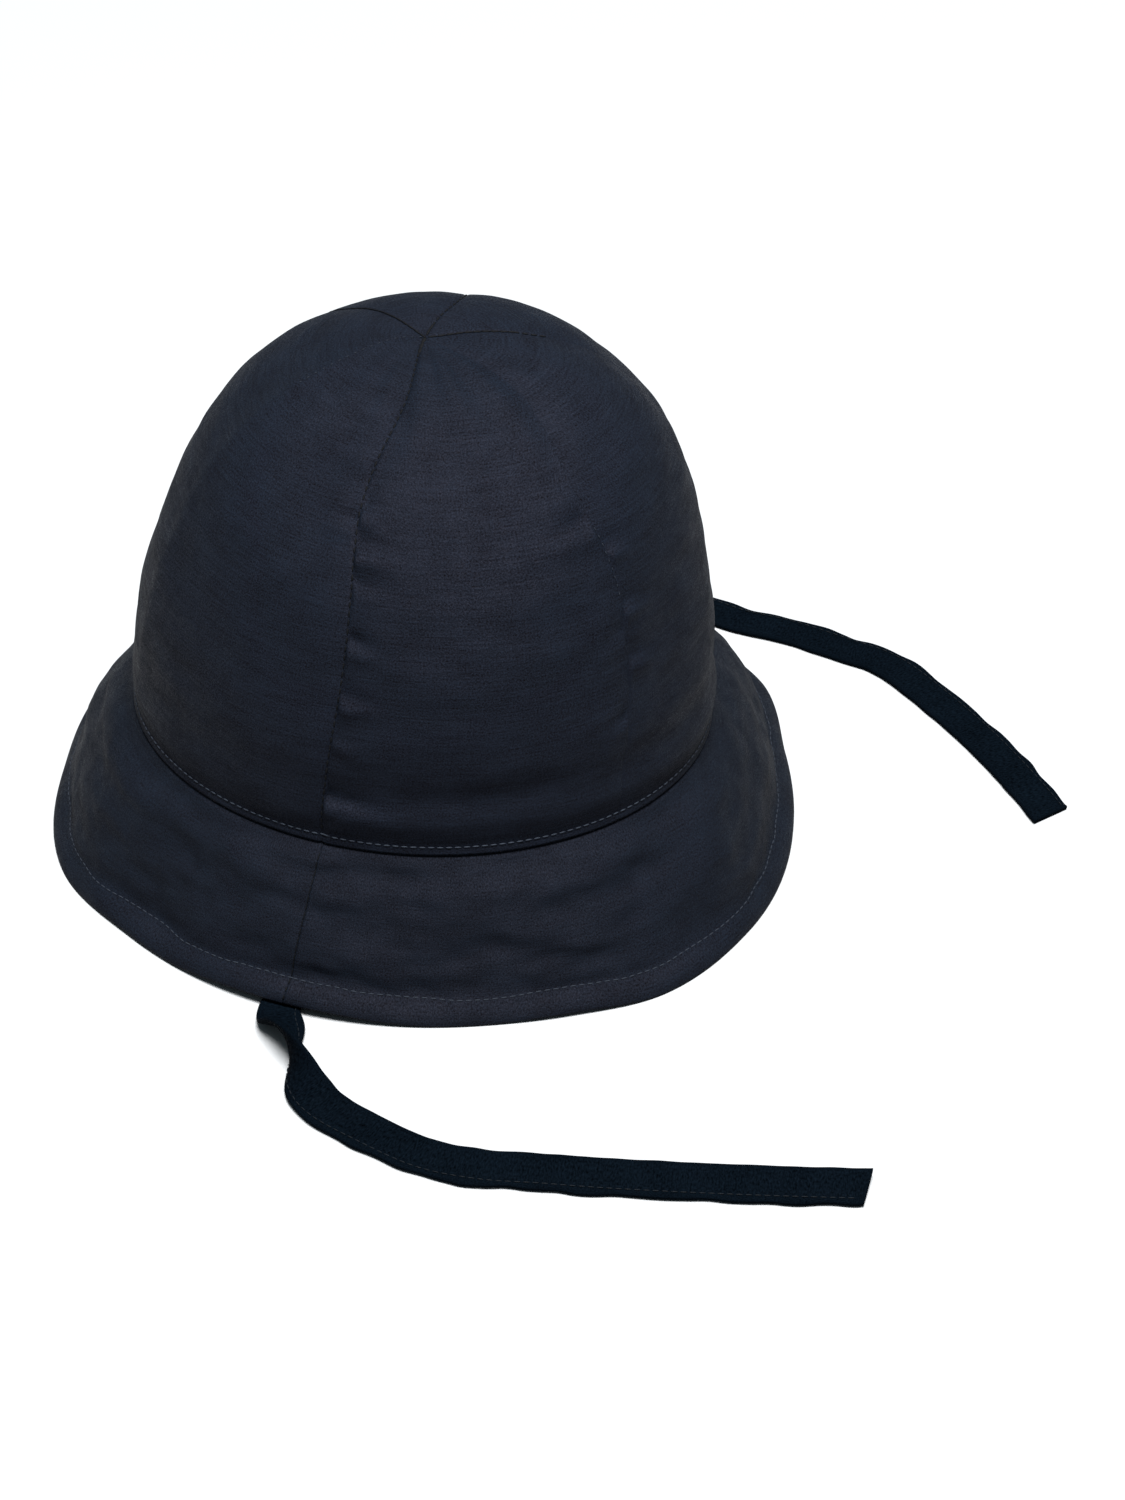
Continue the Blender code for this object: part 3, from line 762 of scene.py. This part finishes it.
# Blotches where the doubled cloth tilts: azimuth, half width in degrees, place down, half length,
# how much (towards the light is positive)
BLOTCHES = (
    (-86.0, 7.0, 0.12, 0.09, -2.0),
    (-74.0, 15.0, 0.10, 0.07, -0.9),
    (-112.0, 14.0, 0.08, 0.07, -0.7),
    (-95.5, 5.0, 0.14, 0.08, -1.3),
    (-54.5, 5.0, 0.15, 0.08, 0.7),
    (-25.6, 4.5, 0.34, 0.08, 2.6),
    (-58.0, 5.0, 0.59, 0.09, 1.2),
    (-87.0, 5.0, 0.75, 0.06, -1.3),
    (-47.8, 5.0, 0.75, 0.06, -0.9),
    (-39.0, 6.0, 0.64, 0.07, -0.8),
    (-104.7, 6.0, 0.15, 0.08, 0.8),
    (-135.0, 8.0, 0.14, 0.10, 0.9),
    (-140.0, 7.0, 0.61, 0.12, 0.6),
    (-116.0, 7.0, 0.07, 0.05, -0.7),
    (-158.0, 5.0, 0.18, 0.10, -1.2),
    (-25.0, 5.0, 0.58, 0.08, -0.9),
    (20.0, 8.0, 0.19, 0.12, 0.9),
)
BLOTCH_DEPTH = 0.00070
# Where the ties pass under the hem: azimuth, width across the hem
TIE_PASSES = (
    (-92.8, 0.0125),
    (85.0, 0.0175),
)


def curve_between(before, start, end, after, share):
    """A smooth curve through start and end, shaped by the values on either side."""
    squared, cubed = share * share, share * share * share
    rise = (after - start) * (cubed - squared) + (end - before) * (cubed - 2 * squared + share)
    return start * (2 * cubed - 3 * squared + 1) + end * (3 * squared - 2 * cubed) + rise / 2


def around(rows, azimuth, column):
    """A column of an azimuth table, followed smoothly round the hat."""
    count = len(rows)
    for index in range(count):
        start, end = rows[index], rows[(index + 1) % count]
        share = ((azimuth - start[0]) % 360.0) / ((end[0] - start[0]) % 360.0)
        if share < 1.0:
            values = [rows[(index + k) % count][column] for k in (-1, 0, 1, 2)]
            return curve_between(*values, share)
    return rows[0][column]


def down_slope(share):
    """How far out the brim is, as a share, at a share of its way down."""
    last = len(BRIM_SLOPE) - 1
    for index in range(last):
        start, end = BRIM_SLOPE[index], BRIM_SLOPE[index + 1]
        if share <= end[0]:
            between = (share - start[0]) / (end[0] - start[0])
            values = [BRIM_SLOPE[min(last, max(0, index + k))][1] for k in (-1, 0, 1, 2)]
            return curve_between(*values, between)
    return 1.0


def hem_radius(azimuth):
    """The hem's distance from the head's middle at an azimuth."""
    return head_radius(azimuth) + BRIM_REACH * around(HEM_ROWS, azimuth, 1)


def hem_lift(azimuth):
    """How far the hem is off the table."""
    lift = HEM_LIFT * max(0.0, around(HEM_ROWS, azimuth, 2))
    pass_height = TIE_THICKNESS + PASS_CLEARANCE
    for middle, width in TIE_PASSES:
        off_tie = abs(math.radians(turn_between(middle, azimuth))) * hem_radius(azimuth)
        clear = width / 2 + PASS_MARGIN
        near = (TIE_SWELL * clear - off_tie) / ((TIE_SWELL - 1) * clear)
        lift = max(lift, pass_height * smooth(near))
    return lift


SLOPE_LENGTH = math.hypot(SEAM_HEIGHT, BRIM_REACH)


def brim_surface(line, down):
    """Azimuth, radius and height of the brim's outer face, down an azimuth line to the hem."""
    # The brim's own azimuth lines lean near the right side seam, more towards the hem
    fade = math.exp(-((turn_between(-90.0, line) / LEAN_SPAN) ** 2))
    azimuth = line + SEAM_LEAN * fade * down
    start = head_radius(azimuth) - CROWN_WALL - TOP_GAP
    top = SEAM_HEIGHT - TOP_GAP
    reach = hem_radius(azimuth)
    lift = hem_lift(azimuth)
    radius = start + (reach - start) * down_slope(down)
    away = 0.0
    for middle, half_width, level, half_length, depth in FOLDS:
        across = turn_between(middle, azimuth) / half_width
        along = (down - level) / half_length
        away -= FOLD_DEPTH * depth * math.exp(-(across**2) - along**2)
    away *= smooth(down / 0.25) * smooth((1 - down) / 0.2)
    # Small soft wrinkles of the doubled cloth, and the hem's stitch line and roll
    spot = place(azimuth, radius, 0.0)
    wrinkle = noise.noise(Vector((spot.x * 38.0, spot.y * 38.0, down * 4.2)))
    crease = noise.noise(Vector((spot.x * 75.0 + 4.0, spot.y * 75.0, down * 7.0 + 2.0)))
    blotch = noise.noise(Vector((spot.x * 150.0, spot.y * 150.0 + 9.0, down * 12.0)))
    ripple = WRINKLE_DEPTH * wrinkle + CREASE_DEPTH * crease + SPECK_DEPTH * blotch
    away += ripple * smooth(down / 0.12) * smooth((1 - down) / 0.16)
    for middle, half_width, level, half_length, much in BLOTCHES:
        across = (turn_between(middle, azimuth) + 6.0 * crease) / half_width
        along = (down - level) / half_length
        away += BLOTCH_DEPTH * much * along * math.exp(-(across**2) - along**2)
    # A lip close under the crown's edge
    away += LIP_DEPTH * smooth(down / 0.02) * (1 - smooth((down - 0.08) / 0.3))
    to_hem = (1 - down) * SLOPE_LENGTH
    away -= STITCH_CHANNEL * bell(to_hem, HEM_DEPTH, 0.0009)
    away += HEM_ROLL * bell(to_hem, HEM_DEPTH / 2, 0.0026)
    return azimuth, radius + away, lift + (top - lift) * (1 - down)


def brim_loop(line):
    """The brim cut through down an azimuth line: outer face, round the hem, inner face up."""
    outer = []
    steps = BRIM_TURNS // 2 - 4
    for step in range(steps + 1):
        outer.append(brim_surface(line, step / steps))
    inner = []
    for index, (azimuth, radius, height) in enumerate(outer):
        before, after = outer[max(0, index - 2)], outer[min(steps, index + 2)]
        run = math.hypot(after[1] - before[1], after[2] - before[2])
        to_hem = (1 - index / steps) * SLOPE_LENGTH
        wall = BRIM_WALL + (HEM_WALL - BRIM_WALL) * smooth((HEM_DEPTH + 0.0008 - to_hem) / 0.0010)
        inward = wall * (after[2] - before[2]) / run
        # No point of the inner face sinks below the foot
        inner_height = max(outer[-1][2] + FOOT_ROUND, height + wall * (before[1] - after[1]) / run)
        inner.append((azimuth, radius + inward, inner_height))
    # The fold at the hem is rounded and stands on the table
    foot_azimuth, foot_radius, foot_height = outer[-1]
    last = outer[-3]
    lean = (foot_radius - last[1]) / (last[2] - foot_height)
    foot = HEM_WALL * math.hypot(1.0, lean)
    outer[-1] = (foot_azimuth, foot_radius - HEM_ROUND, foot_height + HEM_ROUND)
    turn_in = [
        (foot_azimuth, foot_radius - HEM_ROUND - FOOT_ROUND, foot_height),
        (foot_azimuth, foot_radius - foot + FOOT_ROUND, foot_height),
    ]
    inner[-1] = (foot_azimuth, foot_radius - foot, foot_height + FOOT_ROUND)
    top = (outer[0][0], outer[0][1], SEAM_HEIGHT + BRIM_TUCK)
    inner_top = (inner[0][0], inner[0][1], SEAM_HEIGHT + BRIM_TUCK)
    return [top] + outer + turn_in + inner[::-1] + [inner_top]


def make_brim_half(name, left, right):
    """Half of the brim, from one side seam to the other."""
    half_gap = math.degrees(CLOTH_GAP / 2 / (HEAD_WIDTH / 2))
    sections = {}
    turns = len(brim_loop(left))
    brim = bmesh.new()
    bmesh.ops.create_grid(brim, x_segments=BRIM_COLUMNS, y_segments=turns, size=0.5)
    threads = brim.loops.layers.uv.new("cloth")
    laid = {}
    for vertex in brim.verts:
        column = round((vertex.co.x + 0.5) * BRIM_COLUMNS)
        turn = round((vertex.co.y + 0.5) * turns)
        across = 0.5 - 0.5 * math.cos(math.pi * column / BRIM_COLUMNS)
        across = 0.6 * column / BRIM_COLUMNS + 0.4 * across
        azimuth = left + half_gap + (right - left - 2 * half_gap) * across
        if column not in sections:
            sections[column] = (azimuth, brim_loop(azimuth))
        spot = sections[column][1][turn % turns]
        cloth_across = math.radians(azimuth) * (HEAD_WIDTH / 2 + BRIM_REACH)
        laid[vertex.index] = (place(*spot), (cloth_across, turn / turns * 2 * SLOPE_LENGTH))
    for face in brim.faces:
        face.smooth = True
        for corner in face.loops:
            corner[threads].uv = laid[corner.vert.index][1]
    for vertex in brim.verts:
        vertex.co = laid[vertex.index][0]
    bmesh.ops.remove_doubles(brim, verts=brim.verts, dist=0.00001)
    bmesh.ops.holes_fill(brim, edges=[edge for edge in brim.edges if edge.is_boundary], sides=0)
    bmesh.ops.recalc_face_normals(brim, faces=brim.faces)
    half = finish_cloth(name + "_cloth", brim, brim_cotton)
    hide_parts(name)


make_brim_half("brim_front", -90.0, 90.0)
make_brim_half("brim_back", 90.0, 270.0)


def brim_line(line, down):
    """A point of the brim's outer face with its outward direction."""
    point = place(*brim_surface(line, down))
    across = place(*brim_surface(line + 0.4, down)) - point
    along = place(*brim_surface(line, down - 0.01)) - point
    return point, across.cross(along).normalized()


hem_down = 1 - HEM_DEPTH / SLOPE_LENGTH
hem_line = [brim_line(360.0 * step / EDGE_STEPS - 90.0, hem_down) for step in range(EDGE_STEPS + 1)]
hem_points = [point for point, normal in hem_line]
hem_normals = [normal for point, normal in hem_line]
hem_stitches = sew_line("hem_stitches", hem_points, hem_normals, hem_thread, lift=0.0001)

# The side seams' own stitches are near-black, painted shade for the seam's pulled-in line down the
# wall and for its dashes where it crosses the hem: part, from and to down the brim as shares, length,
# width
SIDE_PAINTED_SHADE = (
    ("wall", 0.05, 0.84, 0.0026, 0.00034),
    ("hem", 0.85, 0.965, 0.0016, 0.00048),
)
PAINTED_SHADE_LIFT = 0.00005
PAINTED_SHADE_STEPS = 60
for side, line in (("right", -90.0), ("left", 90.0)):
    for part, first, last, length, width in SIDE_PAINTED_SHADE:
        downs = [first + (last - first) * step / PAINTED_SHADE_STEPS for step in range(PAINTED_SHADE_STEPS + 1)]
        shade_line = [brim_line(line, down) for down in downs]
        shade_points = [point for point, normal in shade_line]
        shade_normals = [normal for point, normal in shade_line]
        thread_and_painted_shade = sew_line(
            f"{side}_{part}_pulls",
            shade_points,
            shade_normals,
            painted_shade_thread,
            length,
            width,
            PAINTED_SHADE_LIFT,
        )

# The ties
# Two flat strips of cotton, folded and stitched along one edge, are sewn in at the side seams.
# They pass under the hem and lie loose on the table.
TIE_WIDTH = 0.0125
TIE_TUCK = 0.005
TIE_REST = 0.0003
TIE_STATIONS_APART = 0.0012
TIE_SLANT = 0.0024
TIE_PULL = 0.0009
TIE_WAVER = 0.0005
TIE_WAVE = 0.00016
THREAD_TIE = (0.0030, 0.0046, 0.0066)
TIE_STITCH_PLACE = -0.35
TIE_STITCH_WIDTH = 0.0003
TIE_RIGHT = {
    "seam_azimuth": -90.0,
    "floor": (
        (-92.6, 0.70, 0.0),
        (-92.4, 0.95, 0.0),
        (-91.0, 1.18, 8.0),
        (-88.4, 1.46, 50.0),
        (-85.8, 1.80, 95.0),
        (-83.3, 2.12, 140.0),
        (-80.3, 2.36, 165.0),
        (-75.7, 2.60, 172.0),
        (-69.0, 2.98, 172.0),
        (-63.3, 3.18, 172.0),
        (-57.9, 3.31, 172.0),
        (-52.8, 3.50, 172.0),
        (-46.7, 3.79, 172.0),
        (-40.2, 4.21, 172.0),
        (-33.8, 4.77, 172.0),
    ),
}
TIE_LEFT = {
    "seam_azimuth": 90.0,
    "floor": (
        (89.0, 0.80, 0.0),
        (87.5, 1.25, 0.0),
        (84.5, 1.62, 0.0),
        (79.5, 1.93, 0.0),
        (74.0, 2.10, 0.0),
        (69.5, 2.17, 0.0),
        (64.5, 2.25, 0.0),
        (58.6, 2.50, 0.0),
        (52.5, 2.74, 0.0),
        (46.7, 3.02, 0.0),
        (38.7, 3.18, 0.0),
        (30.6, 3.40, 0.0),
        (23.5, 3.65, 0.0),
        (18.8, 3.86, 0.0),
    ),
}


def tie_route(route):
    """The tie's centre line and roll: down inside the hat, under the hem, then over the table."""
    azimuth = route["seam_azimuth"]
    wall = CROWN_WALL + BRIM_WALL + 0.0009 + TIE_WIDTH**2 / (4 * HEAD_WIDTH)
    radius = head_radius(azimuth) - wall - TIE_THICKNESS / 2
    top = SEAM_HEIGHT + TIE_TUCK
    first = route["floor"][0]
    floor_radius = head_radius(first[0]) + first[1] * BRIM_REACH
    line = []
    for up, out in ((1.0, 0.0), (0.88, 0.0), (0.70, 0.06), (0.48, 0.22), (0.24, 0.50), (0.07, 0.80)):
        at = azimuth + turn_between(azimuth, first[0]) * out
        line.append((place(at, radius + (floor_radius - radius) * out, top * up), 0.0))
    for at, reach, roll in route["floor"]:
        lean = math.radians(roll)
        height = abs(math.sin(lean)) * TIE_WIDTH / 2 + abs(math.cos(lean)) * TIE_THICKNESS / 2
        line.append((place(at, head_radius(at) + reach * BRIM_REACH, TIE_REST + height), roll))
    return line


def tie_stations(line):
    """The route again, smooth, with stations about a millimetre apart."""
    found = []
    last = len(line) - 1
    for index in range(last):
        ends = [line[min(last, max(0, index + k))] for k in (-1, 0, 1, 2)]
        pieces = max(1, round((ends[2][0] - ends[1][0]).length / TIE_STATIONS_APART))
        for piece in range(pieces + (index == last - 1)):
            share = piece / pieces
            point = curve_between(*(end[0] for end in ends), share)
            found.append((point, curve_between(*(end[1] for end in ends), share)))
    return found


def tie_directions(stations, index):
    """Which way the tie runs, its width and its thickness at a station."""
    last = len(stations) - 1
    point, roll = stations[index]
    ahead = (stations[min(last, index + 1)][0] - stations[max(0, index - 1)][0]).normalized()
    outward = Vector((point.x - HEAD_MIDDLE.x, point.y - HEAD_MIDDLE.y, 0.0)).normalized() * 0.02
    side = Vector((ahead.y + outward.y, -ahead.x - outward.x, 0.0)).normalized()
    up = side.cross(ahead)
    lean = math.radians(roll)
    wide = side * math.cos(lean) + up * math.sin(lean)
    thick = up * math.cos(lean) - side * math.sin(lean)
    return ahead, wide, thick


# The tie's section, from the folded edge round to the open edge and back: across, up
TIE_SECTION = (
    (0.50, 0.00),
    (0.49, 0.30),
    (0.46, 0.46),
    (0.40, 0.50),
    (0.25, 0.47),
    (0.05, 0.46),
    (-0.15, 0.47),
    (-0.30, 0.48),
    (-0.35, 0.38),
    (-0.40, 0.46),
    (-0.46, 0.40),
    (-0.49, 0.22),
    (-0.49, 0.03),
    (-0.47, 0.00),
    (-0.49, -0.03),
    (-0.49, -0.22),
    (-0.46, -0.40),
    (-0.40, -0.46),
    (-0.35, -0.38),
    (-0.30, -0.48),
    (-0.15, -0.47),
    (0.05, -0.46),
    (0.25, -0.47),
    (0.40, -0.50),
    (0.46, -0.46),
    (0.49, -0.30),
)


def make_tie(name, route):
    """A flat folded strip, swept along its route, with small waves beside its stitches."""
    stations = tie_stations(tie_route(route))
    rows = len(stations) - 1
    turns = len(TIE_SECTION)
    strip = bmesh.new()
    bmesh.ops.create_grid(strip, x_segments=turns, y_segments=rows, size=0.5)
    threads = strip.loops.layers.uv.new("cloth")
    frames = [tie_directions(stations, index) for index in range(rows + 1)]
    laid = {}
    for vertex in strip.verts:
        turn = round((vertex.co.x + 0.5) * turns)
        row = round((vertex.co.y + 0.5) * rows)
        across, up = TIE_SECTION[turn % turns]
        ahead, wide, thick = frames[row]
        along = row * TIE_STATIONS_APART
        wave = noise.noise(Vector((along * 85.0, across * 1.4, 3.0)))
        edge = noise.noise(Vector((along * 160.0, 5.0 + 2.0 * math.copysign(1.0, across), 0.0)))
        # The sewn edge pulls in between its stitches, and the end is cut a little on the slant
        gather = noise.noise(Vector((along * 95.0, 8.0, 1.0)))
        pull = TIE_PULL * gather if across < -0.3 else 0.0
        slant = TIE_SLANT * across * smooth(1 - (rows - row) * TIE_STATIONS_APART / 0.004)
        sideways = across * TIE_WIDTH + pull + TIE_WAVER * edge * abs(across)
        point = stations[row][0] + wide * sideways + ahead * slant
        point += thick * (up * TIE_THICKNESS + TIE_WAVE * wave)
        laid[vertex.index] = (point, (along, turn / turns * 2 * TIE_WIDTH))
    for face in strip.faces:
        face.smooth = True
        for corner in face.loops:
            corner[threads].uv = laid[corner.vert.index][1]
    for vertex in strip.verts:
        vertex.co = laid[vertex.index][0]
    bmesh.ops.remove_doubles(strip, verts=strip.verts, dist=0.00001)
    bmesh.ops.holes_fill(strip, edges=[edge for edge in strip.edges if edge.is_boundary], sides=0)
    bmesh.ops.recalc_face_normals(strip, faces=strip.faces)
    tie = finish_cloth(name + "_cloth", strip, tie_cotton)
    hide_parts(name)
    points = [point for point, roll in stations]
    length = sum((second - first).length for first, second in zip(points, points[1:]))
    row_line = [
        stations[index][0] + frames[index][1] * (TIE_STITCH_PLACE * TIE_WIDTH)
        for index in range(rows + 1)
    ]
    top_side = []
    for index in range(rows + 1):
        facing = 1.0 if frames[index][2].z >= 0 else -1.0
        top_side.append(frames[index][2] * facing)
    row_line = [spot + up * (0.40 * TIE_THICKNESS) for spot, up in zip(row_line, top_side)]
    sewn = slice(4, -3)
    row_name = name + "_stitches"
    stitches = sew_line(row_name, row_line[sewn], top_side[sewn], tie_thread, width=TIE_STITCH_WIDTH)
    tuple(points[0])


tie_thread = sewing_thread("tie_thread", THREAD_TIE)
make_tie("tie_right", TIE_RIGHT)
make_tie("tie_left", TIE_LEFT)

boxes = {"cad": cad_box, "scene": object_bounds()}
boxes = {name: [[float(value) for value in corner] for corner in box] for name, box in boxes.items()}
